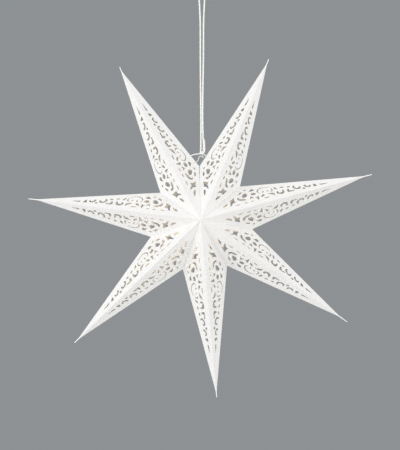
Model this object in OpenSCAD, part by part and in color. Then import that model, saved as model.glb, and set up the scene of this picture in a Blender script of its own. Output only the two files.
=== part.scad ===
// Seven-pointed paper star lamp that hangs by a looped cord, with a battery LED lamp inside.
// Millimetres. +Z is up, the front of the star faces -Y and +X is to the right.
// The origin is where the nail or hook bears, inside the top of the cord's loop.

/* [Star] */
// Radius of the circle through the tips
tip_radius = 300; // [280:1:330]
// Length of the pressed nib at each tip, clockwise from the upper left point
nib_length = [5, 7, 11, 14, 6, 7, 12]; // [4:1:15]
// Distance from the star's axis to a glued valley
valley_radius = 88; // [82:1:94]
// What each valley adds to that distance, clockwise from the tied one at the top, which has its own
valley_give = [0, 0, -1.2, -1.2, -0.4, 3.2, -1.6]; // [-2:0.2:4]
// Distance from the axis to the tied valley at the top, where the star opens
top_valley_radius = 95; // [88:1:98]
// Distance from the middle plane to the front centre, and to the back centre
half_depth = 80; // [76:1:88]
// Height of the hook point over the star's centre
hang_drop = 418; // [417:1:440]
// Turn of the hanging star, anticlockwise seen from the front
star_roll = 3.9; // [2:0.1:5]
// How far each point leans off its even place, clockwise from the upper left one
lean = [-1.4, -0.6, -1.3, 0, 0.9, 1.1, 1.4]; // [-2:0.1:2]
// How far the tied valley leans off its even place
top_valley_lean = -1.3; // [-2:0.1:0]

/* [Paper] */
// Thickness of the card
paper_thickness = 0.4; // [0.3:0.05:0.6]
// Width of the glue flaps along the valleys
flap_width = 8; // [6:0.5:9]
// Width of the tab that closes each point along one side fold
tab_width = 6; // [4:0.5:7]
// Gap between two glued neighbours, at the valley
glue_gap = 0.1; // [0.06:0.02:0.2]
// Gap between the two tied end sheets, at the valley
end_gap = 1.2; // [0.6:0.1:2]
// Diameter of the holes that the tie string passes through
eyelet_d = 3.6; // [3:0.2:4.4]
// Distance from the tied valley to the hole in the left end sheet, along the side fold
left_eyelet = 23; // [22:0.5:24]
// Distance from the tied valley to the hole in the right end sheet, along the side fold
right_eyelet = 19.5; // [18.5:0.5:20.5]

/* [Cord] */
// Diameter of the hanging cord
cord_d = 2.8; // [2:0.1:2.8]
// Diameter of the tie string
string_d = 2; // [1.6:0.1:2.4]
// Diameter of the loose end at the knot
tail_d = 1.2; // [0.8:0.1:1.4]

/* [Lamp] */
// Diameter of one battery cell
cell_d = 10.5; // [10:0.1:10.8]
// Length of one battery cell, without its nub
cell_length = 43.7; // [42:0.1:44]
// Distance from the lamp's axis to a cell's axis
cell_ring = 6.6; // [6.4:0.1:7]
// Room round the cells
cell_room = 0.6; // [0.4:0.1:1]
// Wall of the battery case
case_wall = 1.6; // [1.2:0.1:2.4]
// Thickness of the round board that carries the LEDs
board_t = 1; // [0.8:0.1:1.6]
// Outer diameter of the frosted globe
globe_d = 42; // [36:1:46]
// Wall of the frosted globe
globe_wall = 1.2; // [1:0.1:1.8]
// Place of the lamp's axis to the right of the star's axis
lamp_x = -5.6; // [-6:0.2:-5]
// Height over the star's centre of the hole in the lamp's lug
lug_hole_z = 60; // [59:0.5:61]
// Diameter of the hole in the lamp's lug
lug_hole_d = 3.6; // [3.2:0.2:4.2]

/* [Hidden] */

POINTS = 7;
step = 360 / POINTS;
centre = [0, 0, -hang_drop];

// The cut drawing is made for a star with tip radius 300 and half depth 80, on panels 69 wide
function stretch_along() = norm([tip_radius, half_depth]) / norm([300, 80]);
function stretch_across(width) = width / 69;
// How far the cutters reach on each side of the sheet
cut_reach = 1.5;
// The inner side of a panel is cut a little past the valley planes
past_valley = 0.06;
past_axis = 4;
// The glue flaps start at this distance from the axis and stop this far short of the valley
flap_start = 13;
flap_margin = 3;
// The flap's root lies this far inside the sheet's seam, and its face this far off the sheet's edge plane
flap_root = 0.1;
flap_lift = 0.03;
// The closing tab starts this far from the valley and stops this far short of the tip
tab_start = 8;
tab_end = 24;
// The nib is four layers of card pressed together, and it starts this far inside the point
nib_root = 10;
nib_layers = 4;
nib_end_height = 1.4;

function unit(v) = v / norm(v);
function angle_of_ridge(i) = 90 + step / 2 - step * (i - 1) + star_roll + lean[i - 1];
// Valley j lies clockwise of point j, so the tied one at the top is the first
function angle_of_valley(j) = 90 - step * (j - 1) + star_roll + (j == 1 ? top_valley_lean : 0);
function radius_of_valley(j) = j == 1 ? top_valley_radius : valley_radius + valley_give[j - 1];
function gap_of_valley(j) = j == 1 ? end_gap : glue_gap;
function angle_between(a, b) = let (d = abs(a - b) % 360) min(d, 360 - d);
// Angle between a ridge and the sheet's own edge at a valley
function half_angle(i, j) =
    angle_between(angle_of_ridge(i), angle_of_valley(j)) - asin(gap_of_valley(j) / 2 / radius_of_valley(j));

// A point of the star is drawn with its ridge along +X. side is 1 for the valley anticlockwise of it.
// Its panels meet at $apex_radius, where its nib starts.
function valley_corner(phi, radius, side) = [radius * cos(phi), 0, side * radius * sin(phi)];
function apex() = [$apex_radius, 0, 0];
function front() = [0, -half_depth, 0];
function back() = [0, half_depth, 0];

// Distance from the star's centre to the plane of a panel
function panel_distance(phi, radius) =
    let (k = (1 - radius * cos(phi) / $apex_radius) / (radius * sin(phi)))
    1 / sqrt(pow(1 / $apex_radius, 2) + pow(k, 2) + pow(1 / half_depth, 2));

module five_corners(tip, f, b, up, down) {
    polyhedron(
        points = [tip, f, b, up, down],
        faces = [[0, 1, 3], [0, 3, 2], [0, 4, 1], [0, 2, 4], [1, 2, 3], [2, 1, 4]]
    );
}

// The folded sheet as a hollow: four panels that meet at mitred folds, open towards the axis
module folded_shell(phi_a, r_a, phi_b, r_b) {
    v_a = valley_corner(phi_a, r_a, 1);
    v_b = valley_corner(phi_b, r_b, -1);
    h = (panel_distance(phi_a, r_a) + panel_distance(phi_b, r_b)) / 2;
    q = 1 - paper_thickness / h;
    tip = q * apex();
    difference() {
        five_corners(apex(), front(), back(), v_a, v_b);
        five_corners(
            tip,
            q * front() - unit(tip - q * front()) * past_axis,
            q * back() - unit(tip - q * back()) * past_axis,
            q * v_a + (q * v_a - tip) * past_valley,
            q * v_b + (q * v_b - tip) * past_valley
        );
    }
}

// Flat coordinates of a panel: x along the ridge fold from the centre, y across towards the valley
function panel_axes(phi, radius) =
    let (
        x = unit(apex() - front()),
        v = valley_corner(phi, radius, 1) - front(),
        y = unit(v - x * (v * x)),
        z = cross(x, y)
    ) [x, y, z];
function panel_corner(phi, radius) =
    let (m = panel_axes(phi, radius), v = valley_corner(phi, radius, 1) - front()) [v * m[0], v * m[1]];
function panel_length() = norm(apex() - front());

module on_panel(phi, radius, side, face) {
    m = panel_axes(phi, radius);
    f = front();
    mirror([0, face < 0 ? 0 : 1, 0])
        mirror([0, 0, side > 0 ? 0 : 1])
            multmatrix([
                [m[0].x, m[1].x, m[2].x, f.x],
                [m[0].y, m[1].y, m[2].y, f.y],
                [m[0].z, m[1].z, m[2].z, f.z],
                [0, 0, 0, 1]
            ])
                children();
}

// A slender cut from a to b; bend moves its middle to the left of the way from a to b
function leaf(a, b, width, bend = 0) =
    let (n = [a.y - b.y, b.x - a.x] / norm(b - a), m = (a + b) / 2)
    [a, m + n * (bend + width / 2), b, m + n * (bend - width / 2)];

// The filigree of one panel, from the centre of the star out to the tip, in the drawing's millimetres
first_leaf = leaf([46.3, 18.3], [57.2, 27.2], 3.2, -1);
horned_star = [
    [58.6, 15.3], [65.2, 22.3], [72.5, 23.6], [71.3, 29.8],
    [73.7, 38.5], [67.5, 34], [62.8, 31.8], [63.2, 26]
];
opening_curl = [[80.6, 37.6], [77.6, 31.5], [81.5, 25], [91.5, 22.8], [87, 28.6], [82.2, 30.4]];
large_hole = [[87, 32.8], [94.5, 33.2], [97.8, 38.5], [96, 45], [90.6, 40.6]];
valley_leaf = leaf([84, 44.2], [92.6, 50.6], 3.4);
bird = [[96.6, 21.6], [100.6, 25], [104.2, 21.8], [101.2, 31]];
ridge_thorn = [[109.8, 13.6], [113.2, 26.6], [107.4, 24.2]];
small_hole = [[104, 38.2], [105.6, 33], [112.2, 31.6], [112.4, 36], [108.6, 40]];
comma = [[103, 44.6], [109, 44.4], [113.6, 48.6], [110.6, 52.6]];
scroll_left = leaf([118.2, 34.4], [121.2, 45.6], 3, 1.3);
scroll_right = leaf([137.4, 29.4], [140.2, 40.2], 2.8, -2.4);
wing = [[129.4, 25.4], [134.6, 20.6], [139.8, 14.6], [139.6, 23.6]];
arch = [[147.8, 25], [144.6, 19.6], [147.6, 14.8], [155.4, 14.6], [158.4, 25], [154.4, 19.2], [148.8, 19.4]];
arch_leaf = leaf([156, 35.4], [161.6, 31.4], 3.6);
hook = [[163.2, 14], [174.6, 14.4], [167.4, 17.2], [167, 23.4], [163.8, 19.4]];
outer_scroll = [[178.6, 29], [175.4, 23], [181, 15], [187.6, 22.8], [181.8, 19]];
outer_curl = [[195.4, 23], [195.6, 16.4], [200.2, 12.6], [205.4, 17.8], [200, 16.2]];
drop = [[208.6, 10.8], [214.8, 10.8], [211.2, 19.2]];
last_leaf = [[220.2, 14], [221.4, 10], [235, 10]];
filigree = [
    first_leaf, horned_star, opening_curl, large_hole, valley_leaf, bird, ridge_thorn, small_hole, comma,
    scroll_left, scroll_right, wing, arch, arch_leaf, hook, outer_scroll, outer_curl, drop, last_leaf
];

module cut_panel(phi, radius, side, face) {
    corner = panel_corner(phi, radius);
    on_panel(phi, radius, side, face)
        translate([0, 0, -cut_reach])
            linear_extrude(height = 2 * cut_reach)
                for (outline = filigree)
                    polygon([
                        for (p = outline)
                            [p.x * stretch_along(), p.y * stretch_across(corner.y)]
                    ]);
}

// One glue flap, on the inner side of the sheet's edge plane and along its front or back seam
module glue_flap(phi, radius, side, face) {
    f = [0, -half_depth];
    v = [radius, 0];
    along = unit(v - f);
    inward = [-along.y, along.x];
    a = f + along * (flap_start / radius * norm(v - f)) + inward * flap_root;
    b = v - along * flap_margin + inward * flap_root;
    mirror([0, face < 0 ? 0 : 1, 0])
        mirror([0, 0, side > 0 ? 0 : 1])
            rotate([0, -phi, 0])
                translate([0, 0, -paper_thickness - flap_lift])
                    linear_extrude(height = paper_thickness)
                        polygon([
                            a, b,
                            b + (inward - along) * flap_width,
                            a + (inward + along) * flap_width
                        ]);
}

// The tab that closes the folded sheet, glued inside along a side fold that no string goes through
module closing_tab(phi, radius, side, face) {
    v = panel_corner(phi, radius);
    tip = [panel_length(), 0];
    along = unit(tip - v);
    inward = [along.y, -along.x];
    a = v + along * tab_start;
    b = tip - along * tab_end;
    on_panel(phi, radius, side, face)
        translate([0, 0, -2 * paper_thickness])
            linear_extrude(height = 1.2 * paper_thickness)
                polygon([a, b, b + (inward - along) * tab_width, a + (inward + along) * tab_width]);
}

// The tip of the point, where the card is pressed flat
module pressed_nib() {
    root = $apex_radius - nib_root;
    root_half_height = half_depth * nib_root / $apex_radius;
    translate([0, 0, -nib_layers * paper_thickness / 2])
        linear_extrude(height = nib_layers * paper_thickness)
            polygon([
                [root, -root_half_height],
                [tip_radius, -nib_end_height / 2],
                [tip_radius, nib_end_height / 2],
                [root, root_half_height]
            ]);
}

// A hole through a side fold for the tie string
module eyelet(phi, radius, side, along) {
    v = valley_corner(phi, radius, side);
    e = unit(apex() - v);
    translate(v + e * along)
        rotate([0, -atan2(e.z, e.x), 0])
            cylinder(d = eyelet_d, h = 4 * eyelet_d, center = true, $fn = 48);
}

module paper_point(i) {
    $apex_radius = tip_radius - nib_length[i - 1];
    a = i == 1 ? POINTS : i - 1;
    phi_a = half_angle(i, a);
    phi_b = half_angle(i, i);
    r_a = radius_of_valley(a);
    r_b = radius_of_valley(i);
    color("white")
        translate(centre)
            rotate([0, -angle_of_ridge(i), 0])
                difference() {
                    union() {
                        folded_shell(phi_a, r_a, phi_b, r_b);
                        for (face = [-1, 1]) {
                            glue_flap(phi_a, r_a, 1, face);
                            glue_flap(phi_b, r_b, -1, face);
                        }
                        if (i == 2) closing_tab(phi_b, r_b, -1, 1);
                        else closing_tab(phi_a, r_a, 1, 1);
                        pressed_nib();
                    }
                    for (face = [-1, 1]) {
                        cut_panel(phi_a, r_a, 1, face);
                        cut_panel(phi_b, r_b, -1, face);
                    }
                    if (i == 1) eyelet(phi_b, r_b, -1, left_eyelet);
                    if (i == 2) eyelet(phi_a, r_a, 1, right_eyelet);
                }
}

// The cords' routes, all in part coordinates
hanging_route = [
    [-1.9, 0, -297.4], [-1.9, 0, -294.4], [-1.7, 0, -279], [-1.7, 0, -245], [-2, 0, -211], [-2.4, 0, -180],
    [-2.6, 0, -150], [-2.7, 0, -115], [-2.8, 0, -83], [-3.4, 0, -62], [-4.4, 0, -42], [-5.5, 0, -24],
    [-6.2, 0, -12], [-6.25, 0, -5], [-5.4, 0, -1.9], [-3.1, 0, 0.4], [0, 0, 1.25], [3.1, 0, 0.4],
    [5.4, 0, -1.9], [6.25, 0, -5], [6.2, 0, -12], [5.5, 0, -24], [4.4, 0, -42], [3.4, 0, -62],
    [2.8, 0, -83], [2.7, 0, -115], [2.4, 0, -150], [1.8, 0, -180], [1.3, 0, -211], [1.2, 0, -235],
    [1.4, 0, -256], [2, 0, -275], [2.7, 0, -286], [2.5, 0, -294.4], [2.5, 0, -297.4]
];
tie_route = [
    [-4.2, 0, -302.6], [-5.4, 0, -302.6], [-9.5, 0, -302.95], [-14.3, 0, -303.9], [-18.95, 0, -305.4],
    [-20.1, 0, -305.8], [-21.6, 0, -306.7], [-22.7, 0, -308], [-23.3, 0, -309.6], [-23.35, 0, -311.3],
    [-23, 0, -312.6], [-16.5, 0, -333.3], [-9.9, 0, -354.6], [-8.95, 0, -356.25], [-7.45, 0, -357.35],
    [-5.6, 0, -357.75], [-3.75, 0, -357.35], [-2.25, 0, -356.25], [-1.25, 0, -354.3], [3.9, 0, -333.3],
    [9.05, 0, -312.3], [9.2, 0, -311.2], [9.05, 0, -310], [8.6, 0, -308.8], [8, 0, -307.9],
    [7.05, 0, -306.75], [5.2, 0, -304.5], [4.02, 0, -303.1]
];
loose_route = [
    [1.6, 0, -304], [1.6, 0, -305.4], [1.9, -1, -307.4], [2.4, -2.9, -308.9], [2.5, -5.3, -309.4],
    [1.7, -7.6, -308.8], [-0.2, -8.9, -307.6], [-2.5, -8.8, -307.2], [-4.5, -7.5, -308.3], [-5.4, -6, -310.3],
    [-5.9, -5.2, -312.6], [-7, -4.8, -314.7], [-8.5, -4.7, -316.4], [-10.2, -4.7, -317.6]
];
cord_sides = 8;

// A closed tube swept along a route, with one ring at each of its points
module tube(route, d) {
    n = len(route);
    across = [0, 1, 0];
    rings = [
        for (i = [0 : n - 1])
            let (
                t = unit(route[min(i + 1, n - 1)] - route[max(i - 1, 0)]),
                u = unit(cross(t, across)),
                w = cross(t, u)
            )
            for (j = [0 : cord_sides - 1])
                let (a = 360 * j / cord_sides)
                route[i] + d / 2 * (cos(a) * u + sin(a) * w)
    ];
    wall = [
        for (i = [0 : n - 2], j = [0 : cord_sides - 1])
            let (k = (j + 1) % cord_sides)
            [i * cord_sides + j, (i + 1) * cord_sides + j, (i + 1) * cord_sides + k, i * cord_sides + k]
    ];
    first = [for (j = [0 : cord_sides - 1]) j];
    last = [for (j = [cord_sides - 1 : -1 : 0]) (n - 1) * cord_sides + j];
    polyhedron(points = rings, faces = concat([first], wall, [last]));
}

module hanging_cord() { color("ivory") tube(hanging_route, cord_d); }
module tie_string() { color("ivory") tube(tie_route, string_d); }
module loose_end() { color("ivory") tube(loose_route, tail_d); }

// The knot: two wraps round a core, with flat lands where the cords leave it
knot_core_r = 3.9;
knot_wrap_r = 3.6;
knot_wrap_d = 2.6;
knot_top = -297.4;
knot_low = -304;
knot_wraps = [-299.4, -302.6];
knot_land = 0.6;
// The tie string leaves the knot flat on the left and at this slope on the right
tie_slope = 50;
module cord_knot() {
    reach = 4 * knot_wrap_d;
    color("ivory")
        difference() {
            union() {
                translate([0, 0, knot_low])
                    cylinder(r = knot_core_r, h = knot_top - knot_low, $fn = 48);
                for (z = knot_wraps)
                    translate([0, 0, z])
                        rotate_extrude($fn = 48)
                            translate([knot_wrap_r, 0])
                                circle(d = knot_wrap_d, $fn = 24);
            }
            translate([-knot_wrap_r - knot_land - reach, -reach, knot_low - reach])
                cube([reach, 2 * reach, 3 * reach]);
            translate([knot_wrap_r, 0, knot_wraps[1]])
                rotate([0, tie_slope, 0])
                    translate([knot_land, -reach, -reach])
                        cube([reach, 2 * reach, 1.2 * reach]);
        }
}

// The lamp, from its lug down to its globe, round the axis at lamp_x
CELLS = 3;
nub_d = 3.8;
nub_h = 0.8;
contact_t = 0.4;
lug_t = 3;
lug_w = 8;
lug_rim = 2;
lug_to_roof = 5;
case_inner_r = cell_ring + cell_d / 2 + cell_room;
case_r = case_inner_r + case_wall;
roof_z = lug_hole_z - lug_to_roof;
contact_z = roof_z - case_wall - contact_t;
cells_low = contact_z - nub_h - cell_length;
base_top = cells_low - contact_t;
spigot_h = 3.6;
spigot_gap = 0.2;
flange_t = 2;
rim_z = base_top - spigot_h;
flange_low = rim_z - flange_t;
collar_r = 11.5;
collar_wall = 1.5;
collar_h = 7;
board_gap = 0.2;
led_size = [3.5, 2.8, 1.4];
led_count = 6;
led_ring = 6;
globe_gap = 0.1;
neck_r = collar_r + globe_gap + globe_wall;
globe_z = flange_low - collar_h - sqrt(pow(globe_d / 2, 2) - pow(neck_r, 2));
rib_depth = 4.5;
rib_t = 1.2;
pad_d = 6;
pad_gap = 0.1;
pad_proud = 0.8;
pad_flange_d = 8.4;
pad_flange_t = 0.8;
pad_angle = 270;
pad_z = 30;
switch_size = 4.5;
switch_t = 1.6;
strip_w = 5;
strip_t = 0.8;

module at_lamp() { translate(centre + [lamp_x, 0, 0]) children(); }

module battery_case() {
    color("whitesmoke")
        at_lamp() {
            difference() {
                translate([0, 0, rim_z])
                    cylinder(r = case_r, h = roof_z - rim_z, $fn = 96);
                translate([0, 0, rim_z - 1])
                    cylinder(r = case_inner_r, h = roof_z - case_wall - rim_z + 1, $fn = 96);
                translate([0, 0, pad_z])
                    rotate([0, 90, pad_angle])
                        cylinder(d = pad_d, h = 2 * case_r, $fn = 48);
            }
            for (a = [30, 150])
                rotate([0, 0, a])
                    translate([case_inner_r - rib_depth, -rib_t / 2, cells_low])
                        cube([rib_depth + case_wall / 2, rib_t, contact_z - cells_low]);
            difference() {
                union() {
                    translate([-lug_t / 2, 0, lug_hole_z])
                        rotate([0, 90, 0])
                            cylinder(d = lug_w, h = lug_t, $fn = 48);
                    translate([-lug_t / 2, -lug_w / 2, roof_z - case_wall / 2])
                        cube([lug_t, lug_w, lug_hole_z - roof_z + case_wall / 2]);
                }
                translate([-lug_t, 0, lug_hole_z])
                    rotate([0, 90, 0])
                        cylinder(d = lug_hole_d, h = 2 * lug_t, $fn = 48);
            }
        }
}

// One cell; its nub points down where flip is 1
module cell(angle, flip) {
    color("silver")
        at_lamp()
            rotate([0, 0, angle])
                translate([cell_ring, 0, cells_low]) {
                    translate([0, 0, flip * nub_h])
                        cylinder(d = cell_d, h = cell_length, $fn = 48);
                    translate([0, 0, flip * nub_h + (1 - flip) * cell_length - flip * nub_h])
                        cylinder(d = nub_d, h = nub_h, $fn = 48);
                }
}
module battery_cell_1() { cell(90, 0); }
module battery_cell_2() { cell(210, 1); }
module battery_cell_3() { cell(330, 0); }

module contact_plate(z) {
    color("gold")
        at_lamp()
            translate([0, 0, z])
                cylinder(r = case_inner_r - spigot_gap, h = contact_t, $fn = 96);
}
module top_contact() { contact_plate(contact_z); }
module bottom_contact() { contact_plate(base_top); }

module lamp_base() {
    color("whitesmoke")
        at_lamp() {
            translate([0, 0, rim_z])
                cylinder(r = case_inner_r - spigot_gap, h = spigot_h, $fn = 96);
            translate([0, 0, flange_low])
                cylinder(r = case_r, h = flange_t, $fn = 96);
            difference() {
                translate([0, 0, flange_low - collar_h])
                    cylinder(r = collar_r, h = collar_h, $fn = 96);
                translate([0, 0, flange_low - collar_h - 1])
                    cylinder(r = collar_r - collar_wall, h = collar_h + 1, $fn = 96);
            }
        }
}

module led_board() {
    color("green")
        at_lamp()
            translate([0, 0, flange_low - board_t])
                cylinder(r = collar_r - collar_wall - board_gap, h = board_t, $fn = 96);
}

module leds() {
    color("khaki")
        at_lamp()
            for (i = [0 : led_count - 1])
                rotate([0, 0, 360 * i / led_count])
                    translate([led_ring - led_size.x / 2, -led_size.y / 2, flange_low - board_t - led_size.z])
                        cube(led_size);
}

module globe() {
    color("floralwhite")
        at_lamp()
            difference() {
                union() {
                    translate([0, 0, globe_z])
                        sphere(d = globe_d, $fn = 96);
                    translate([0, 0, globe_z])
                        cylinder(r = neck_r, h = flange_low - globe_z, $fn = 96);
                }
                translate([0, 0, globe_z])
                    sphere(r = globe_d / 2 - globe_wall, $fn = 96);
                translate([0, 0, globe_z])
                    cylinder(r = neck_r - globe_wall, h = flange_low - globe_z + 1, $fn = 96);
            }
}

// The soft pad is pressed through the wall; its flange sits behind the wall
module switch_pad() {
    color("lightgrey")
        at_lamp() {
            translate([0, 0, pad_z])
                rotate([0, 90, pad_angle])
                    translate([0, 0, case_inner_r - pad_flange_t])
                        cylinder(d = pad_d - 2 * pad_gap, h = pad_flange_t + case_wall + pad_proud, $fn = 48);
            intersection() {
                translate([0, 0, pad_z])
                    rotate([0, 90, pad_angle])
                        translate([0, 0, flange_inner_r])
                            cylinder(d = pad_flange_d, h = case_r, $fn = 48);
                translate([0, 0, pad_z - pad_flange_d])
                    cylinder(r = case_inner_r - pad_gap, h = 2 * pad_flange_d, $fn = 96);
            }
        }
}

// The strip that joins the two contact plates and carries the switch behind the pad
flange_inner_r = sqrt(pow(case_inner_r, 2) - pow(pad_flange_d / 2, 2)) - pad_flange_t;
strip_r = flange_inner_r - pad_gap - switch_t - strip_t;
module switch_strip() {
    color("darkgreen")
        at_lamp()
            rotate([0, 0, pad_angle])
                translate([strip_r, 0, 0]) {
                    translate([0, -strip_w / 2, cells_low])
                        cube([strip_t, strip_w, contact_z - cells_low]);
                    translate([strip_t, -switch_size / 2, pad_z - switch_size / 2])
                        cube([switch_t, switch_size, switch_size]);
                }
}

paper_point(1);  // point_1
paper_point(2);  // point_2
paper_point(3);  // point_3
paper_point(4);  // point_4
paper_point(5);  // point_5
paper_point(6);  // point_6
paper_point(7);  // point_7
hanging_cord();
cord_knot();
tie_string();
loose_end();
battery_case();
battery_cell_1();
battery_cell_2();
battery_cell_3();
top_contact();
bottom_contact();
lamp_base();
led_board();
leds();
globe();
switch_pad();
switch_strip();
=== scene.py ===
# Seven-pointed paper star lamp: the visual model.
# Metres. +Z is up, the front of the star faces -Y, and the origin is where the hook bears.
import math

import bpy
import numpy as np
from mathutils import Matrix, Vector, geometry


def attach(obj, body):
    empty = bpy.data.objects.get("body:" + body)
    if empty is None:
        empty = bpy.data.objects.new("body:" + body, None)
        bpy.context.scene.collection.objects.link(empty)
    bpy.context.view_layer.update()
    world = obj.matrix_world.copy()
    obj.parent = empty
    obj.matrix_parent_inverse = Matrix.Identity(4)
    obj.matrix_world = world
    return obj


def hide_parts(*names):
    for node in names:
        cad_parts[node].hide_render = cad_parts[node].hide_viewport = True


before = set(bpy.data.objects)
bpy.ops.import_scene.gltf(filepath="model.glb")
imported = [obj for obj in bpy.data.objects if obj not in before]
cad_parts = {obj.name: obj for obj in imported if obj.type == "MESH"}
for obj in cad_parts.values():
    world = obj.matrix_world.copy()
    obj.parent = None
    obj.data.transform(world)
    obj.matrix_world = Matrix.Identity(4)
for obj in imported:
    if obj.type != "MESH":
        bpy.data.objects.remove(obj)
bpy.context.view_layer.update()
MM = 0.001


# The camera stands where the photograph was taken from
IMAGE_W, IMAGE_H = 400, 450
FOCAL_PX = 1407
CAMERA_DISTANCE = 2.4
CAMERA_AZIMUTH = 1.6
CAMERA_ELEVATION = -1.8
STAR_CENTRE = Vector((0, 0, -0.418))
CENTRE_PX = (201.9, 221.4)


def make_camera():
    data = bpy.data.cameras.new("camera")
    cam = bpy.data.objects.new("camera", data)
    bpy.context.scene.collection.objects.link(cam)
    az = math.radians(CAMERA_AZIMUTH)
    el = math.radians(CAMERA_ELEVATION)
    away = Vector((math.sin(az) * math.cos(el), -math.cos(az) * math.cos(el), math.sin(el)))
    cam.location = STAR_CENTRE + away * CAMERA_DISTANCE
    cam.rotation_euler = (-away).to_track_quat("-Z", "Y").to_euler()
    data.sensor_fit = "VERTICAL"
    data.sensor_height = 24
    data.lens = FOCAL_PX * data.sensor_height / IMAGE_H
    data.shift_x = -(CENTRE_PX[0] - IMAGE_W / 2) / IMAGE_H
    data.shift_y = (CENTRE_PX[1] - IMAGE_H / 2) / IMAGE_H
    data.clip_end = 20
    bpy.context.scene.camera = cam


make_camera()


# Node helpers
def node(tree, kind):
    return tree.nodes.new(kind)


def new_material(name):
    mat = bpy.data.materials.new(name)
    mat.use_nodes = True
    tree = mat.node_tree
    tree.nodes.clear()
    return mat, tree, node(tree, "ShaderNodeOutputMaterial")


def link(tree, a, b):
    tree.links.new(a, b)


def noise(tree, coords, scale, detail=3.0, rough=0.5):
    n = node(tree, "ShaderNodeTexNoise")
    n.inputs["Scale"].default_value = scale
    n.inputs["Detail"].default_value = detail
    n.inputs["Roughness"].default_value = rough
    link(tree, coords, n.inputs["Vector"])
    return n.outputs["Fac"]


def ramp(tree, fac, stops):
    r = node(tree, "ShaderNodeValToRGB")
    e = r.color_ramp.elements
    while len(e) < len(stops):
        e.new(0.5)
    for item, (pos, col) in zip(e, stops):
        item.position = pos
        item.color = (*col, 1)
    link(tree, fac, r.inputs["Fac"])
    return r.outputs["Color"]


def bump(tree, height, strength, distance, normal=None):
    b = node(tree, "ShaderNodeBump")
    b.inputs["Strength"].default_value = strength
    b.inputs["Distance"].default_value = distance
    link(tree, height, b.inputs["Height"])
    if normal is not None:
        link(tree, normal, b.inputs["Normal"])
    return b.outputs["Normal"]


def card_material(name, low, high):
    """Uncoated card: a fine fibre grain, a slight mottle and a faint wave."""
    mat, tree, out = new_material(name)
    coords = node(tree, "ShaderNodeTexCoord").outputs["Object"]
    mottle = noise(tree, coords, 38, 4, 0.6)
    fibre = noise(tree, coords, 1700, 3, 0.7)
    wave = noise(tree, coords, 9, 2, 0.5)
    colour = ramp(tree, mottle, [(0.3, low), (0.7, high)])
    shape = bump(tree, wave, 0.25, 0.004)
    normal = bump(tree, fibre, 0.18, 0.00012, shape)
    face = node(tree, "ShaderNodeBsdfPrincipled")
    face.inputs["Roughness"].default_value = 0.72
    face.inputs["Specular IOR Level"].default_value = 0.3
    link(tree, colour, face.inputs["Base Color"])
    link(tree, normal, face.inputs["Normal"])
    link(tree, face.outputs["BSDF"], out.inputs["Surface"])
    return mat


def grained_material(name, low, high, rough, scale, metallic=0.0, stretch=(1, 1, 1)):
    """A plain finish with a slight mottle and a fine grain."""
    mat, tree, out = new_material(name)
    coords = node(tree, "ShaderNodeTexCoord").outputs["Object"]
    mapping = node(tree, "ShaderNodeMapping")
    mapping.inputs["Scale"].default_value = stretch
    link(tree, coords, mapping.inputs["Vector"])
    spread = mapping.outputs["Vector"]
    mottle = noise(tree, spread, scale / 12, 3)
    fine = noise(tree, spread, scale, 4, 0.6)
    shader = node(tree, "ShaderNodeBsdfPrincipled")
    shader.inputs["Roughness"].default_value = rough
    shader.inputs["Metallic"].default_value = metallic
    link(tree, ramp(tree, mottle, [(0.3, low), (0.7, high)]), shader.inputs["Base Color"])
    link(tree, bump(tree, fine, 0.15, 0.0001), shader.inputs["Normal"])
    link(tree, shader.outputs["BSDF"], out.inputs["Surface"])
    return mat


# The darkest and the lightest tone of the card on its outside, and on its inside and cut walls, where the
# warm cream tint is painted lamp light from the globe
CARD_LOW = (0.835, 0.828, 0.815)
CARD_HIGH = (0.87, 0.865, 0.853)
LAMPLIT_INSIDE_LOW = (0.86, 0.823, 0.755)
LAMPLIT_INSIDE_HIGH = (0.89, 0.853, 0.785)


def put(name, verts, faces, materials, replaces=(), smooth=False, which=None):
    """A new piece from mesh data, in metres; which says for each face which material it takes."""
    mesh = bpy.data.meshes.new(name)
    mesh.from_pydata([tuple(v) for v in verts], [], [tuple(f) for f in faces])
    for material in materials:
        mesh.materials.append(material)
    if which:
        mesh.polygons.foreach_set("material_index", which)
    mesh.validate()
    mesh.update()
    piece = bpy.data.objects.new(name, mesh)
    bpy.context.scene.collection.objects.link(piece)
    if smooth:
        mesh.polygons.foreach_set("use_smooth", [True] * len(mesh.polygons))
    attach(piece, "root")
    if replaces:
        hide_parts(*replaces)
    return piece


# The cords, along the same points as in the part's source
HANGING = [
    (-1.9, 0, -297.4), (-1.9, 0, -294.4), (-1.7, 0, -279), (-1.7, 0, -245), (-2, 0, -211), (-2.4, 0, -180),
    (-2.6, 0, -150), (-2.7, 0, -115), (-2.8, 0, -83), (-3.4, 0, -62), (-4.4, 0, -42), (-5.5, 0, -24),
    (-6.2, 0, -12), (-6.25, 0, -5), (-5.4, 0, -1.9), (-3.1, 0, 0.4), (0, 0, 1.25), (3.1, 0, 0.4),
    (5.4, 0, -1.9), (6.25, 0, -5), (6.2, 0, -12), (5.5, 0, -24), (4.4, 0, -42), (3.4, 0, -62),
    (2.8, 0, -83), (2.7, 0, -115), (2.4, 0, -150), (1.8, 0, -180), (1.3, 0, -211), (1.2, 0, -235),
    (1.4, 0, -256), (2, 0, -275), (2.7, 0, -286), (2.5, 0, -294.4), (2.5, 0, -297.4),
]
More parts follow.
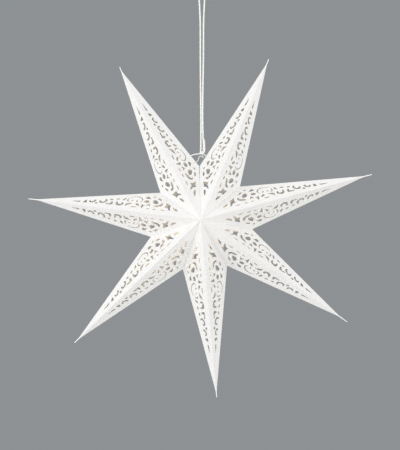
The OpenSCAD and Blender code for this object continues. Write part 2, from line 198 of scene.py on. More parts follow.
TIE = [
    (-4.2, 0, -302.6), (-5.4, 0, -302.6), (-9.5, 0, -302.95), (-14.3, 0, -303.9), (-18.95, 0, -305.4),
    (-20.1, 0, -305.8), (-21.6, 0, -306.7), (-22.7, 0, -308), (-23.3, 0, -309.6), (-23.35, 0, -311.3),
    (-23, 0, -312.6), (-16.5, 0, -333.3), (-9.9, 0, -354.6), (-8.95, 0, -356.25), (-7.45, 0, -357.35),
    (-5.6, 0, -357.75), (-3.75, 0, -357.35), (-2.25, 0, -356.25), (-1.25, 0, -354.3), (3.9, 0, -333.3),
    (9.05, 0, -312.3), (9.2, 0, -311.2), (9.05, 0, -310), (8.6, 0, -308.8), (8, 0, -307.9),
    (7.05, 0, -306.75), (5.2, 0, -304.5), (4.02, 0, -303.1),
]
LOOSE = [
    (1.6, 0, -304), (1.6, 0, -305.4), (1.9, -1, -307.4), (2.4, -2.9, -308.9), (2.5, -5.3, -309.4),
    (1.7, -7.6, -308.8), (-0.2, -8.9, -307.6), (-2.5, -8.8, -307.2), (-4.5, -7.5, -308.3),
    (-5.4, -6, -310.3), (-5.9, -5.2, -312.6), (-7, -4.8, -314.7), (-8.5, -4.7, -316.4),
    (-10.2, -4.7, -317.6),
]


# How much thicker a soft strand is than a round rod that would fill its place
STRAND_SWELL = 1.06


def through(points, step):
    """A smooth line through the points, in equal steps."""
    p = np.array(points, float)
    p = np.vstack([2 * p[0] - p[1], p, 2 * p[-1] - p[-2]])
    out = []
    for i in range(1, len(p) - 2):
        a, b, c, d = p[i - 1:i + 3]
        ta = (c - a) / (np.linalg.norm(b - a) + np.linalg.norm(c - b)) * np.linalg.norm(c - b)
        tb = (d - b) / (np.linalg.norm(c - b) + np.linalg.norm(d - c)) * np.linalg.norm(c - b)
        for u in np.linspace(0, 1, 16, endpoint=False):
            rise = 3 * u ** 2 - 2 * u ** 3
            out.append((1 - rise) * b + (u ** 3 - 2 * u ** 2 + u) * ta + rise * c + (u ** 3 - u ** 2) * tb)
    out.append(p[-2])
    out = np.array(out)
    s = np.concatenate([[0], np.cumsum(np.linalg.norm(np.diff(out, axis=0), axis=1))])
    n = max(2, int(round(s[-1] / step)))
    t = np.linspace(0, s[-1], n + 1)
    return np.column_stack([np.interp(t, s, out[:, k]) for k in range(3)]), s[-1]


def twisted(line, diameter, strands, pitch, sides):
    """Two or more strands laid round each other along a line; every strand is a closed tube."""
    n = len(line)
    tangent = np.gradient(line, axis=0)
    tangent /= np.linalg.norm(tangent, axis=1)[:, None]
    across = np.array([0, 1, 0.0])
    verts, faces = [], []
    step = np.linalg.norm(np.diff(line, axis=0), axis=1)
    along = np.concatenate([[0], np.cumsum(step)])
    one = STRAND_SWELL * diameter / (1 + 1 / math.sin(math.pi / strands))
    lay = diameter / 2 - one
    for k in range(strands):
        base = len(verts)
        for i in range(n):
            t = tangent[i]
            u = across - t * (across @ t)
            u /= np.linalg.norm(u)
            w = np.cross(t, u)
            a = 2 * math.pi * (along[i] / pitch + k / strands)
            middle = line[i] + lay * (math.cos(a) * u + math.sin(a) * w)
            for j in range(sides):
                b = 2 * math.pi * j / sides + a
                verts.append((middle + one * (math.cos(b) * u + math.sin(b) * w)) * MM)
        for i in range(n - 1):
            for j in range(sides):
                j2 = (j + 1) % sides
                faces.append((base + i * sides + j, base + i * sides + j2,
                              base + (i + 1) * sides + j2, base + (i + 1) * sides + j))
        faces.append([base + j for j in range(sides - 1, -1, -1)])
        faces.append([base + (n - 1) * sides + j for j in range(sides)])
    return verts, faces


def braided(line, diameter, pitch, sides):
    """Four yarns one way and four the other way, over and under each other, round a core."""
    n, yarns = len(line), 4
    tangent = np.gradient(line, axis=0)
    tangent /= np.linalg.norm(tangent, axis=1)[:, None]
    across = np.array([0, 1, 0.0])
    u = across - tangent * (tangent @ across)[:, None]
    u /= np.linalg.norm(u, axis=1)[:, None]
    w = np.cross(tangent, u)
    along = np.concatenate([[0], np.cumsum(np.linalg.norm(np.diff(line, axis=0), axis=1))])
    swell = diameter * 0.025
    thick, wide = diameter * 0.1, diameter * 0.24
    lay = diameter / 2 - thick - swell
    core = lay * STRAND_SWELL
    tubes = [(np.zeros(n), np.zeros(n), core, core)]
    for way in (-1, 1):
        for k in range(yarns):
            a = 2 * math.pi * (way * along / pitch + k / yarns)
            tubes.append((a, lay + way * swell * np.cos(yarns * a), thick, wide))
    verts, faces = [], []
    for angle, out, tall, broad in tubes:
        base = len(verts)
        ray = u * np.cos(angle)[:, None] + w * np.sin(angle)[:, None]
        side = np.cross(tangent, ray)
        middle = line + ray * np.asarray(out)[:, None]
        rings = [middle + ray * tall * math.cos(b) + side * broad * math.sin(b)
                 for b in (2 * math.pi * j / sides for j in range(sides))]
        verts += list((np.stack(rings, axis=1) * MM).reshape(-1, 3))
        for i in range(n - 1):
            a, b = base + i * sides, base + (i + 1) * sides
            for j in range(sides):
                j2 = (j + 1) % sides
                faces.append((a + j, a + j2, b + j2, b + j))
        faces.append([base + j for j in range(sides - 1, -1, -1)])
        faces.append([base + (n - 1) * sides + j for j in range(sides)])
    return verts, faces


def cord_material():
    """White cotton: a slight mottle and a fine fuzz."""
    mat, tree, out = new_material("cotton_cord")
    coords = node(tree, "ShaderNodeTexCoord").outputs["Object"]
    fuzz = noise(tree, coords, 2600, 3, 0.7)
    mottle = noise(tree, coords, 160, 3, 0.6)
    shader = node(tree, "ShaderNodeBsdfPrincipled")
    shader.inputs["Roughness"].default_value = 0.85
    shader.inputs["Specular IOR Level"].default_value = 0.2
    shader.inputs["Sheen Weight"].default_value = 0.3
    white = ramp(tree, mottle, [(0.3, (0.80, 0.79, 0.77)), (0.7, (0.87, 0.86, 0.84))])
    link(tree, white, shader.inputs["Base Color"])
    link(tree, bump(tree, fuzz, 0.5, 0.0002), shader.inputs["Normal"])
    link(tree, shader.outputs["BSDF"], out.inputs["Surface"])
    return mat


COTTON = cord_material()
CORD_D, STRING_D, TAIL_D = 2.8, 2.0, 1.2


def make_cord(name, route, diameter, strands, pitch, node_name):
    """A cord of the given strands, or a braided one where strands is 0."""
    line, length = through(route, diameter * 0.27)
    if strands:
        verts, faces = twisted(line, diameter, strands, pitch, 7)
    else:
        verts, faces = braided(line, diameter, pitch, 6)
    piece = put(name, verts, faces, (COTTON,), (node_name,), smooth=True)
    return piece


make_cord("hanging_cord_strands", HANGING, CORD_D, 0, 10, "hanging_cord")
make_cord("tie_string_strands", TIE, STRING_D, 3, 7, "tie_string")
make_cord("loose_end_strands", LOOSE, TAIL_D, 2, 4.5, "loose_end")


# The knot: two wraps round the cord's two ends, and the end that is tucked up beside the right strand
def coil(radius, turns, low, high, start, step):
    """Points round the upright axis, rising from low to high."""
    n = max(8, int(turns * 2 * math.pi * radius / step))
    t = np.linspace(0, 1, n)
    a = 2 * math.pi * turns * t + start
    return np.column_stack([radius * np.cos(a), radius * np.sin(a), low + (high - low) * t])


def make_knot():
    verts, faces = [], []
    yarn_d, yarn_pitch, yarn_sides = 2.6, 9, 6
    lines = [
        coil(3.1, 2.3, -303, -298.4, 0.6, 0.8),
        np.array([(-1.9, 0, -297.6), (-1.8, 0.2, -299.5), (-1.4, 0.4, -302), (-1.8, 0.2, -303.6)], float),
        np.array([(2.5, 0, -297.6), (2, -0.2, -299.5), (1.2, -0.4, -302), (1.6, 0, -303.7)], float),
        np.array([(2.6, -2.6, -301), (4, -1.9, -298.4), (4.7, -0.9, -294.6), (4.5, -0.5, -290.5),
                  (4.4, -0.6, -286), (4.1, -0.9, -281.5), (3.6, -1.2, -278)], float),
    ]
    for line in lines:
        smooth, _ = through(line, 0.7)
        v, f = braided(smooth, yarn_d, yarn_pitch, yarn_sides)
        faces += [[i + len(verts) for i in face] for face in f]
        verts += v
    return put("knot_wraps", verts, faces, (COTTON,), ("cord_knot",), smooth=True)


make_knot()


# The star's sheets in millimetres, each drawn with its ridge along the first axis.
# Lists run clockwise: the points from the upper left one, the valleys from the tied one at the top.
TIP_R, VALLEY_R, TOP_VALLEY_R, HALF_DEPTH = 300, 88, 95, 80
NIBS = [5, 7, 11, 14, 6, 7, 12]
VALLEY_GIVE = [0, 0, -1.2, -1.2, -0.4, 3.2, -1.6]
ROLL, TOP_LEAN = 3.9, -1.3
LEAN = [-1.4, -0.6, -1.3, 0, 0.9, 1.1, 1.4]
CARD, FLAP_W, TAB_W, GLUE_GAP, END_GAP = 0.4, 8, 6, 0.1, 1.2
FLAP_START, FLAP_MARGIN, FLAP_ROOT, FLAP_LIFT = 13, 3, 0.1, 0.03
TAB_START, TAB_END = 8, 24
NIB_ROOT, NIB_END_HALF = 10, 0.7
NIB_CURL = [-1.0, 0.2, -0.5, -0.4, 0.1, -0.2, 0.6]
EYELET_D, LEFT_EYELET, RIGHT_EYELET = 3.6, 23, 19.5
POINTS = 7
STEP = 360 / POINTS
# The cuts are drawn for a tip radius of 300 and a half depth of 80, on panels 69 wide
STRETCH = math.hypot(TIP_R, HALF_DEPTH) / math.hypot(300, 80)
DRAWN_WIDTH = 69


def unit(v):
    return v / np.linalg.norm(v)


def ridge_angle(i):
    return 90 + STEP / 2 - STEP * (i - 1) + ROLL + LEAN[i - 1]


def valley_angle(j):
    return 90 - STEP * (j - 1) + ROLL + (TOP_LEAN if j == 1 else 0)


def valley_radius(j):
    return TOP_VALLEY_R if j == 1 else VALLEY_R + VALLEY_GIVE[j - 1]


def half_angle(i, j):
    d = abs(ridge_angle(i) - valley_angle(j)) % 360
    gap = END_GAP if j == 1 else GLUE_GAP
    return min(d, 360 - d) - math.degrees(math.asin(gap / 2 / valley_radius(j)))


# Cuts are drawn on a flat panel: the first number runs along the ridge fold from the centre to the tip
def spline(points, count):
    """A smooth open run through the points, without its last point."""
    p = np.array(points, float)
    p = np.vstack([2 * p[0] - p[1], p, 2 * p[-1] - p[-2]])
    out = []
    for i in range(1, len(p) - 2):
        a, b, c, d = p[i - 1:i + 3]
        for u in np.linspace(0, 1, count, endpoint=False):
            out.append(0.5 * (2 * b + (c - a) * u + (2 * a - 5 * b + 4 * c - d) * u * u
                              + (3 * b - a - 3 * c + d) * u ** 3))
    return out


def outline(points, corners, count=4):
    """A closed outline that is smooth between its corners, which are given by their places in points."""
    n = len(points)
    out = []
    marks = list(corners) + [corners[0] + n]
    for a, b in zip(marks, marks[1:]):
        out += spline([points[k % n] for k in range(a, b + 1)], count)
    return out


def leaf(a, b, width, bend=0, count=8):
    """A slender leaf from a to b; bend bulges it to the left of the way."""
    a, b = np.array(a, float), np.array(b, float)
    n = np.array([a[1] - b[1], b[0] - a[0]]) / np.linalg.norm(b - a)
    t = np.linspace(0, 1, count, endpoint=False)
    go = [a + (b - a) * u + n * 4 * (bend + width / 2) * u * (1 - u) for u in t]
    back = [b + (a - b) * u + n * 4 * (bend - width / 2) * u * (1 - u) for u in t]
    return go + back


def oval(c, width, height, count=14):
    a = np.linspace(0, 2 * math.pi, count, endpoint=False)
    return [np.array([c[0] + width / 2 * math.cos(t), c[1] + height / 2 * math.sin(t)]) for t in a]


def ribbon(points, width, count=4):
    """A curved slit of nearly even width that narrows towards both ends."""
    line = np.array(spline(points, count) + [np.array(points[-1], float)])
    ahead = np.gradient(line, axis=0)
    side = np.column_stack([-ahead[:, 1], ahead[:, 0]]) / np.linalg.norm(ahead, axis=1)[:, None]
    t = np.linspace(0, math.pi, len(line))
    half = width / 2 * (0.3 + 0.7 * np.sqrt(np.sin(t).clip(0)))[:, None]
    return list(line - side * half) + list((line + side * half)[::-1])


def slot(s, w, length):
    """A short narrow cut along the ridge fold."""
    return leaf((s - length / 2, w), (s + length / 2, w), 2.6, count=5)


def grown(loop, by):
    """The closed outline moved outwards."""
    p = np.array(loop, float)
    step = np.roll(p, -1, axis=0) - p
    step /= np.linalg.norm(step, axis=1)[:, None]
    turn = np.sum(p[:, 0] * np.roll(p[:, 1], -1) - np.roll(p[:, 0], -1) * p[:, 1])
    out = np.column_stack([step[:, 1], -step[:, 0]]) * (1 if turn > 0 else -1)
    both = out + np.roll(out, 1, axis=0)
    both /= np.linalg.norm(both, axis=1)[:, None]
    reach = np.clip(np.sum(both * out, axis=1), 0.6, 1)
    return p + both * (by / reach)[:, None]


# The knife's way round a cut takes a little more off than the drawn line
CUT_EASE = 0.4
CUTS = [
    leaf((45.8, 17.2), (57.4, 27), 4, -1),
    outline([(58.6, 15.3), (62.7, 18.2), (65.2, 22.3), (68.6, 23.7), (72.5, 23.6), (71.3, 26.4),
             (71.3, 29.8), (72, 34.3), (73.7, 38.5), (70.4, 36.6), (67.5, 34), (65, 32.8), (62.8, 31.8),
             (63.6, 28.8), (63.2, 26), (61.6, 20.6)], (0, 4, 8, 12)),
    slot(72.2, 14.6, 9.5),
    slot(87.4, 14.8, 6.5),
    slot(98.6, 14.8, 6),
    slot(124.5, 14.8, 10.5),
    outline([(80.6, 37.6), (77.6, 31.5), (78.3, 28.5), (81.5, 25), (86.5, 23.5), (91.5, 22.6),
             (88, 28), (83.5, 29.3), (81.7, 32.5)], (0, 5)),
    outline([(87.2, 32.9), (91, 32.2), (94, 33), (97, 36.5), (98, 40), (96.2, 45), (92, 41.5),
             (89, 38.5)], (0, 5)),
    leaf((84, 44.2), (92.5, 50.5), 3.3),
    oval((99.3, 53.6), 4, 3.6),
    outline([(96.6, 21.6), (98.8, 23.6), (100.6, 24.6), (102.6, 23.6), (104.2, 21.8), (103.4, 26.4),
             (101.2, 31), (99.4, 26.4)], (0, 4, 6)),
    outline([(109.8, 13.6), (112.2, 19.6), (113.2, 26.6), (110.4, 24.6), (107.4, 24.2),
             (109.2, 19)], (0, 2, 4)),
    leaf((117, 20), (124, 27), 4),
    oval((108, 36), 8.5, 8),
    outline([(103, 44.6), (107.5, 45.8), (111, 45), (113.6, 47.8), (112, 51.4), (108.6, 51),
             (106.4, 48)], (0,)),
    ribbon([(118.4, 32.4), (116.4, 37.6), (118.4, 43), (122.8, 46.6), (129, 47.8), (134.8, 46.4),
            (138.8, 43)], 1.5),
    leaf((123.2, 31.6), (126.2, 36.8), 1.8, -0.6),
    outline([(129.4, 25.4), (132.4, 23.4), (134.6, 20.6), (137.8, 18.4), (139.8, 14.6), (140.2, 19),
             (139.6, 23.6), (134.6, 25.4)], (0, 4, 6)),
    leaf((132.5, 36), (134, 32), 2, 0.5),
    ribbon([(137, 29), (140.4, 31.2), (141.9, 35.2), (141, 39.8)], 1.5),
    leaf((149.2, 31), (146.8, 40), 3.6),
    outline([(147.2, 25), (144.8, 20.5), (146, 16.5), (150, 14), (154, 14), (157.3, 17), (158.5, 25),
             (156.5, 25), (155.3, 20.5), (153, 18.8), (149, 18.7), (148, 21), (148.6, 24)], (0, 6)),
    leaf((156, 35.4), (161.6, 31.4), 3.6),
    outline([(163.2, 14), (168.8, 13.5), (174.6, 13.8), (174.7, 16.5), (170.6, 16.3), (168, 17), (167, 20),
             (167.2, 23.3), (165.3, 23.2), (163.5, 19)], (0, 2, 3, 7)),
    oval((169.6, 29.6), 5, 3.8),
    outline([(178.5, 29), (175.5, 25.5), (175.8, 21), (178.5, 17), (182.5, 15), (186, 16), (187.8, 19.5),
             (187.5, 23.5), (186, 21.5), (184.5, 19), (181.5, 19), (178.8, 22), (178.3, 25.5),
             (179.8, 28)], (0, 7)),
    oval((191.3, 12.8), 4.2, 4.8),
    outline([(195.3, 23), (194.3, 19.5), (196.5, 15), (200, 12.7), (203.5, 13.5), (205.5, 18),
             (203.5, 18), (202, 16), (199.5, 16.3), (197.5, 19.5), (197, 22.5)], (0, 5)),
    outline([(208.7, 10.9), (211.8, 10.5), (214.8, 10.8), (213.6, 15.2), (211.2, 19.1),
             (209.6, 15)], (0, 2, 4)),
    outline([(220.2, 13.8), (221.4, 10.2), (228, 9.7), (235, 10), (227.6, 11.6)], (0, 3)),
]


class Panel:
    """One of a sheet's four panels.

    side is 1 for the valley anticlockwise of the ridge and -1 for the other, face is -1 for the front.
    """

    def __init__(self, phi, radius, side, face, apex_r, eyelet=None, gap=GLUE_GAP):
        p = math.radians(phi)
        self.flip = np.array([1, 1 if face < 0 else -1, side], float)
        apex = np.array([apex_r, 0, 0], float)
        self.front = np.array([0, -HALF_DEPTH, 0], float)
        self.x = unit(apex - self.front)
        v = np.array([radius * math.cos(p), 0, radius * math.sin(p)]) - self.front
        self.y = unit(v - self.x * (v @ self.x))
        self.z = np.cross(self.x, self.y)
        self.corner = np.array([v @ self.x, v @ self.y])
        self.long = np.linalg.norm(apex - self.front)
        self.side, self.face, self.eyelet, self.gap = side, face, eyelet, gap
        self.across_valley = np.array([-math.sin(p), 0, math.cos(p)])
        self.normal = self.z * self.flip

    def at(self, q, depth=0.0):
        p = self.front + self.x * q[0] + self.y * q[1] - self.z * depth
        return p * self.flip

    def edge(self, a, b, n):
        return [a + (b - a) * k / n for k in range(n)]

    def boundary(self):
        """The outline with, for each of its points, the folds that it lies on."""
        f, a, v = np.zeros(2), np.array([self.long, 0.0]), self.corner
        pts = [(p, "ridge") for p in self.edge(f, a, 12)]
        pts.append((a, "apex"))
        n = 8
        down = unit(v - a)
        inside = np.array([-down[1], down[0]])
        inside = inside if inside @ (f - v) > 0 else -inside
        if self.eyelet:
            mid = v - down * self.eyelet
            # the hole is round seen along its own axis, so it is longer across the sloping panel
            across = inside[0] * self.x + inside[1] * self.y
            deep = EYELET_D / 2 / abs(across[1])
            pts += [(p, "side") for p in self.edge(a, mid - down * EYELET_D / 2, n)][1:]
            for k in range(9):
                t = math.pi * k / 8
                where = mid - down * EYELET_D / 2 * math.cos(t) + inside * deep * math.sin(t)
                pts.append((where, "side" if k in (0, 8) else "free"))
            pts += [(p, "side") for p in self.edge(mid + down * EYELET_D / 2, v, 2)][1:]
        else:
            pts += [(p, "side") for p in self.edge(a, v, n)][1:]
        pts.append((v, "valley"))
        pts += [(p, "seam") for p in self.seam(v, f)]
        return pts

    def seam(self, v, f, n=10):
        """From the valley to the centre; the tied sheets part at the valley and meet further in."""
        down = unit(f - v)
        out = np.array([down[1], -down[0]])
        reach = (self.x * out[0] + self.y * out[1]) @ self.across_valley
        if reach < 0:
            out, reach = -out, -reach
        pts = []
        for k in range(1, n):
            t = k / n
            spare = max(0.0, self.gap / 2 * (1 - t) - GLUE_GAP / 2) * min(1.0, t / 0.3)
            pts.append(v + (f - v) * t + out * spare / reach)
        return pts

    def holes(self):
        k = np.array([STRETCH, self.corner[1] / DRAWN_WIDTH])
        return [grown(cut, CUT_EASE) * k for cut in CUTS]


def inside_of(loop, pts):
    """Which of the points lie in the closed loop."""
    loop = np.array(loop)
    nxt = np.roll(loop, -1, axis=0)
    x, y = pts[:, 0][:, None], pts[:, 1][:, None]
    cross = (loop[:, 1] > y) != (nxt[:, 1] > y)
    with np.errstate(divide="ignore", invalid="ignore"):
        at = loop[:, 0] + (y - loop[:, 1]) * (nxt[:, 0] - loop[:, 0]) / (nxt[:, 1] - loop[:, 1])
    return (np.sum(cross & (x < at), axis=1) % 2) == 1


def fill(boundary, holes):
    """Triangles of the flat panel between its outline and its cuts."""
    loops = [np.array([p for p, _ in boundary])] + [np.array(h) for h in holes]
    flat, edges = [], []
    for loop in loops:
        base = len(flat)
        flat += [Vector(p) for p in loop]
        edges += [(base + i, base + (i + 1) % len(loop)) for i in range(len(loop))]
    out, _, tris, source, _, _ = geometry.delaunay_2d_cdt(flat, edges, [], 0, 1e-7)
    where = np.array([tuple(p) for p in out])
    tris = np.array([t for t in tris if len(t) == 3])
    mid = where[tris].mean(axis=1)
    keep = inside_of(loops[0], mid)
    for loop in loops[1:]:
        keep &= ~inside_of(loop, mid)
    first = [s[0] if s else -1 for s in source]
    order = [len(loop) for loop in loops]
    a, b, c = (where[tris[:, k]] for k in range(3))
    area = (b[:, 0] - a[:, 0]) * (c[:, 1] - a[:, 1]) - (b[:, 1] - a[:, 1]) * (c[:, 0] - a[:, 0])
    tris = [t if s > 0 else t[::-1] for t, s, k in zip(tris.tolist(), area, keep) if k and abs(s) > 1e-9]
    return where, tris, first, order


class SheetMesh:
    """Vertices and faces of one sheet, with the points on its folds shared between its panels."""

    def __init__(self):
        self.verts, self.faces, self.which, self.known = [], [], [], {}

    def vert(self, p):
        key = tuple(np.round(p, 5))
        if key not in self.known:
            self.known[key] = len(self.verts)
            self.verts.append(p)
        return self.known[key]

    def face(self, ids, reverse, which=0):
        """Adds a face; which is 0 for the card's outside, 1 for its inside and cut walls."""
        ids = list(dict.fromkeys(ids))
        if len(ids) > 2:
            self.faces.append(ids[::-1] if reverse else ids)
            self.which.append(which)


def mitre(normals):
    """The step from the outer to the inner face at a point that lies on all the given planes."""
    n = np.array(normals)
    return np.linalg.lstsq(n, -CARD * np.ones(len(n)), rcond=None)[0]


def add_panel(sheet, panel, panels):
    """Both faces of a panel, mitred at its folds, with its free edges and the walls of its cuts."""
    boundary = panel.boundary()
    holes = panel.holes()
    where, tris, first, order = fill(boundary, holes)
    reverse = panel.flip[1] * panel.flip[2] < 0
    other_side = next(p for p in panels if p.side != panel.side and p.face == panel.face)
    other_face = next(p for p in panels if p.side == panel.side and p.face != panel.face)
    steps = {
        "ridge": mitre([panel.normal, other_side.normal]),
        "side": mitre([panel.normal, other_face.normal]),
        "apex": mitre([p.normal for p in panels]),
        "seam": -CARD * panel.normal, "free": -CARD * panel.normal,
    }
    steps["valley"] = steps["side"]
    outer, inner = [], []
    for k, q in enumerate(where):
        kind = boundary[first[k]][1] if 0 <= first[k] < order[0] else "free"
        p = panel.at(q)
        outer.append(sheet.vert(p))
        inner.append(sheet.vert(p + steps[kind]))
    for t in tris:
        sheet.face([outer[i] for i in t], reverse)
        sheet.face([inner[i] for i in t], not reverse, 1)
    index = {f: k for k, f in enumerate(first) if f >= 0}
    kinds = [k for _, k in boundary]
    n = order[0]
    for i in range(n):
        j = (i + 1) % n
        pair = {kinds[i], kinds[j]}
        if "seam" in pair or "free" in pair:
            a, b = index[i], index[j]
            sheet.face([outer[b], outer[a], inner[a], inner[b]], reverse)
    base = n
    for size in order[1:]:
        loop = where[[index[base + i] for i in range(size)]]
        turn = np.sum(loop[:, 0] * np.roll(loop[:, 1], -1) - np.roll(loop[:, 0], -1) * loop[:, 1]) > 0
        for i in range(size):
            a, b = index[base + i], index[base + (i + 1) % size]
            sheet.face([outer[a], outer[b], inner[b], inner[a]], reverse != (not turn), 1)
        base += size


def add_plate(sheet, corners, step, reverse=False):
    """A thin closed plate from its corners and the step to its other face."""
    base = len(sheet.verts)
    n = len(corners)
    sheet.verts += [np.array(c, float) for c in corners] + [np.array(c, float) + step for c in corners]
    a, b = list(range(base, base + n)), list(range(base + n, base + 2 * n))
    sheet.face(a, reverse)
    sheet.face(b[::-1], reverse)
    for i in range(n):
        j = (i + 1) % n
        sheet.face([a[j], a[i], b[i], b[j]], reverse)


def add_flap(sheet, phi, radius, side, face):
    """A glue flap along the seam, inside the sheet's own edge."""
    p = math.radians(phi)
    out = np.array([math.cos(p), 0, math.sin(p)]) * [1, 1, side]
    into = np.array([math.sin(p), 0, -math.cos(p)]) * [1, 1, side]
    f, v = np.array([0.0, -HALF_DEPTH]), np.array([radius, 0.0])
    along = unit(v - f)
    inward = np.array([-along[1], along[0]])
    a = f + along * (FLAP_START / radius * np.linalg.norm(v - f)) + inward * FLAP_ROOT
    b = v - along * FLAP_MARGIN + inward * FLAP_ROOT
    quad = [a, b, b + (inward - along) * FLAP_W, a + (inward + along) * FLAP_W]
    facing = 1 if face < 0 else -1
    corners = [out * q[0] + np.array([0, q[1] * facing, 0]) + into * FLAP_LIFT for q in quad]
    add_plate(sheet, corners, into * CARD, reverse=(side > 0) == (face < 0))


def add_tab(sheet, panel):
    """The tab inside a panel that closes the sheet along its side fold."""
    v, tip = panel.corner, np.array([panel.long, 0.0])
    along = unit(tip - v)
    inward = np.array([along[1], -along[0]])
    a, b = v + along * TAB_START, tip - along * TAB_END
    quad = [a, b, b + (inward - along) * TAB_W, a + (inward + along) * TAB_W]
    corners = [panel.at(q, CARD * 1.02) for q in quad]
    add_plate(sheet, corners, -panel.normal * CARD, reverse=panel.flip[1] * panel.flip[2] > 0)


def add_nib(sheet, curl, apex_r):
    """The flat pressed tip, curling a little sideways."""
    root = apex_r - NIB_ROOT
    steps = 8
    rings = []
    for k in range(steps + 1):
        u = k / steps
        x = root + (TIP_R - root) * u
        tall = HALF_DEPTH * NIB_ROOT / apex_r * (1 - u) + NIB_END_HALF * u
        thick = 0.85 - 0.3 * u
        z = curl * max(0.0, (x - apex_r + 4) / (TIP_R - apex_r + 4)) ** 1.6
        square = ((-1, -1), (1, -1), (1, 1), (-1, 1))
        rings.append([np.array([x, s * tall, z + r * thick]) for s, r in square])
    base = len(sheet.verts)
    for ring in rings:
        sheet.verts += ring
    for k in range(steps):
        for j in range(4):
            a, b = base + 4 * k + j, base + 4 * k + (j + 1) % 4
            sheet.face([a, b, b + 4, a + 4], True)
    sheet.face([base, base + 1, base + 2, base + 3], False)
    end = base + 4 * steps
    sheet.face([end, end + 1, end + 2, end + 3], True)


CARD_WHITE = card_material("card", CARD_LOW, CARD_HIGH)
# The inside and cut walls take the same white card with the globe's warm light painted into its colour
CARD_PAINTED_LAMPLIGHT = card_material("card_inside_painted_lamplight", LAMPLIT_INSIDE_LOW, LAMPLIT_INSIDE_HIGH)


def make_sheet(i):
    """Sheet i, between the valley before it and the one after it."""
    a, b = (POINTS if i == 1 else i - 1), i
    pa, pb = half_angle(i, a), half_angle(i, b)
    ra, rb = valley_radius(a), valley_radius(b)
    hole_a = RIGHT_EYELET if i == 2 else None
    hole_b = LEFT_EYELET if i == 1 else None
    apex_r = TIP_R - NIBS[i - 1]
    gap_a, gap_b = (END_GAP if j == 1 else GLUE_GAP for j in (a, b))
    panels = [Panel(pa, ra, 1, -1, apex_r, hole_a, gap_a), Panel(pb, rb, -1, -1, apex_r, hole_b, gap_b),
              Panel(pa, ra, 1, 1, apex_r, hole_a, gap_a), Panel(pb, rb, -1, 1, apex_r, hole_b, gap_b)]
    sheet = SheetMesh()
    for panel in panels:
        add_panel(sheet, panel, panels)
    for face in (-1, 1):
        add_flap(sheet, pa, ra, 1, face)
        add_flap(sheet, pb, rb, -1, face)
    add_tab(sheet, panels[3] if i == 2 else panels[2])
    add_nib(sheet, NIB_CURL[i - 1], apex_r)
    t = math.radians(ridge_angle(i))
    turn = np.array([[math.cos(t), 0, -math.sin(t)], [0, 1, 0], [math.sin(t), 0, math.cos(t)]])
    verts = (np.array(sheet.verts) @ turn.T) * MM + np.array(STAR_CENTRE)
    card = (CARD_WHITE, CARD_PAINTED_LAMPLIGHT)
    return put(f"folded_sheet_{i}", verts, sheet.faces, card, (f"point_{i}",), which=sheet.which)


for number in range(1, POINTS + 1):
    make_sheet(number)


# The lamp inside: its CAD solids keep their shape and get their finishes
def finish_node(name, material):
    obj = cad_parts[name]
    obj.data.materials.clear()
    obj.data.materials.append(material)


GLOBE_GLOW = 3


def globe_material():
    """Frosted globe, lit from inside by warm LEDs."""
    mat, tree, out = new_material("frosted_globe")
    coords = node(tree, "ShaderNodeTexCoord").outputs["Object"]
    fine = noise(tree, coords, 900, 3, 0.6)
    shader = node(tree, "ShaderNodeBsdfPrincipled")
    shader.inputs["Base Color"].default_value = (0.72, 0.69, 0.62, 1)
    shader.inputs["Roughness"].default_value = 0.6
    shader.inputs["Emission Color"].default_value = (1.0, 0.86, 0.68, 1)
    shader.inputs["Emission Strength"].default_value = GLOBE_GLOW
    link(tree, bump(tree, fine, 0.2, 0.0001), shader.inputs["Normal"])
    link(tree, shader.outputs["BSDF"], out.inputs["Surface"])
    return mat


WHITE_PLASTIC = grained_material("white_plastic", (0.74, 0.74, 0.72), (0.79, 0.79, 0.77), 0.45, 1500)
CELL_SKIN = grained_material(
    "cell_skin", (0.50, 0.51, 0.53), (0.58, 0.59, 0.61), 0.3, 900, metallic=0.9, stretch=(1, 1, 0.05))
CONTACT = grained_material(
    "contact_metal", (0.72, 0.56, 0.30), (0.80, 0.64, 0.36), 0.3, 1200, metallic=1.0, stretch=(0.1, 1, 1))
BOARD = grained_material("circuit_board", (0.02, 0.13, 0.05), (0.04, 0.18, 0.08), 0.35, 1400)
PAD = grained_material("pad_rubber", (0.45, 0.45, 0.45), (0.52, 0.52, 0.52), 0.7, 1300)
LED = grained_material("led_phosphor", (0.85, 0.62, 0.16), (0.92, 0.72, 0.24), 0.2, 1600)
for key, finish in {
    "battery_case": WHITE_PLASTIC, "lamp_base": WHITE_PLASTIC, "globe": globe_material(),
    "battery_cell_1": CELL_SKIN, "battery_cell_2": CELL_SKIN, "battery_cell_3": CELL_SKIN,
    "top_contact": CONTACT, "bottom_contact": CONTACT, "led_board": BOARD, "switch_strip": BOARD,
    "leds": LED, "switch_pad": PAD,
}.items():
    finish_node(key, finish)


# The studio: a pale floor far below, a plain grey backdrop and soft lights
BACKDROP = (0.27, 0.285, 0.295)


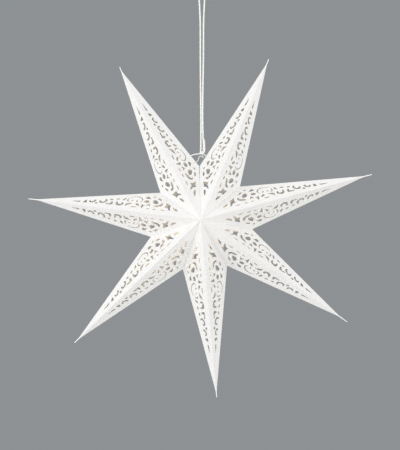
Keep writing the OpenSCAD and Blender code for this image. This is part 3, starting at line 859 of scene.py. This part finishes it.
def make_world():
    """Soft white light all round; straight sight, gloss and clear things show the backdrop's grey instead."""
    world = bpy.data.worlds.new("studio")
    bpy.context.scene.world = world
    world.use_nodes = True
    tree = world.node_tree
    tree.nodes.clear()
    out = node(tree, "ShaderNodeOutputWorld")
    path = node(tree, "ShaderNodeLightPath")
    soft = node(tree, "ShaderNodeBackground")
    soft.inputs["Color"].default_value = (1, 1, 1, 1)
    soft.inputs["Strength"].default_value = 0.80
    seen = node(tree, "ShaderNodeBackground")
    seen.inputs["Color"].default_value = (*BACKDROP, 1)
    either = node(tree, "ShaderNodeMath")
    either.operation = "MAXIMUM"
    link(tree, path.outputs["Is Camera Ray"], either.inputs[0])
    link(tree, path.outputs["Is Glossy Ray"], either.inputs[1])
    any_of = node(tree, "ShaderNodeMath")
    any_of.operation = "MAXIMUM"
    link(tree, either.outputs[0], any_of.inputs[0])
    link(tree, path.outputs["Is Transmission Ray"], any_of.inputs[1])
    mix = node(tree, "ShaderNodeMixShader")
    link(tree, any_of.outputs[0], mix.inputs["Fac"])
    link(tree, soft.outputs[0], mix.inputs[1])
    link(tree, seen.outputs[0], mix.inputs[2])
    link(tree, mix.outputs[0], out.inputs["Surface"])


def make_floor():
    """A plain round floor, far enough below the star to stay out of the picture."""
    mat, tree, out = new_material("floor")
    shader = node(tree, "ShaderNodeBsdfPrincipled")
    shader.inputs["Base Color"].default_value = (0.64, 0.64, 0.635, 1)
    shader.inputs["Roughness"].default_value = 0.9
    link(tree, shader.outputs["BSDF"], out.inputs["Surface"])
    mesh = bpy.data.meshes.new("floor")
    r, z, n = 2.6, -1.35, 96
    ring = [(r * math.cos(2 * math.pi * k / n), r * math.sin(2 * math.pi * k / n), z) for k in range(n)]
    mesh.from_pydata(ring, [], [list(range(n))])
    mesh.materials.append(mat)
    floor = bpy.data.objects.new("floor", mesh)
    bpy.context.scene.collection.objects.link(floor)


def area_light(name, place, target, size, energy):
    data = bpy.data.lights.new(name, "AREA")
    data.shape = "RECTANGLE"
    data.size, data.size_y = size
    data.energy = energy
    lamp = bpy.data.objects.new(name, data)
    bpy.context.scene.collection.objects.link(lamp)
    lamp.location = place
    lamp.rotation_euler = (Vector(target) - Vector(place)).to_track_quat("-Z", "Y").to_euler()


make_world()
make_floor()
area_light("key", (-2.5, -2.4, 0.2), STAR_CENTRE, (1.6, 1.8), 30.5)
area_light("fill", (2.2, -2.6, 0.7), STAR_CENTRE, (1.6, 1.6), 23)
area_light("low", (-0.2, -2.4, -1.2), STAR_CENTRE, (2.2, 0.8), 18.5)
area_light("rim", (0.6, 2.4, 1.2), STAR_CENTRE, (1.6, 1.2), 18)

scene = bpy.context.scene
scene.view_settings.view_transform = "Standard"
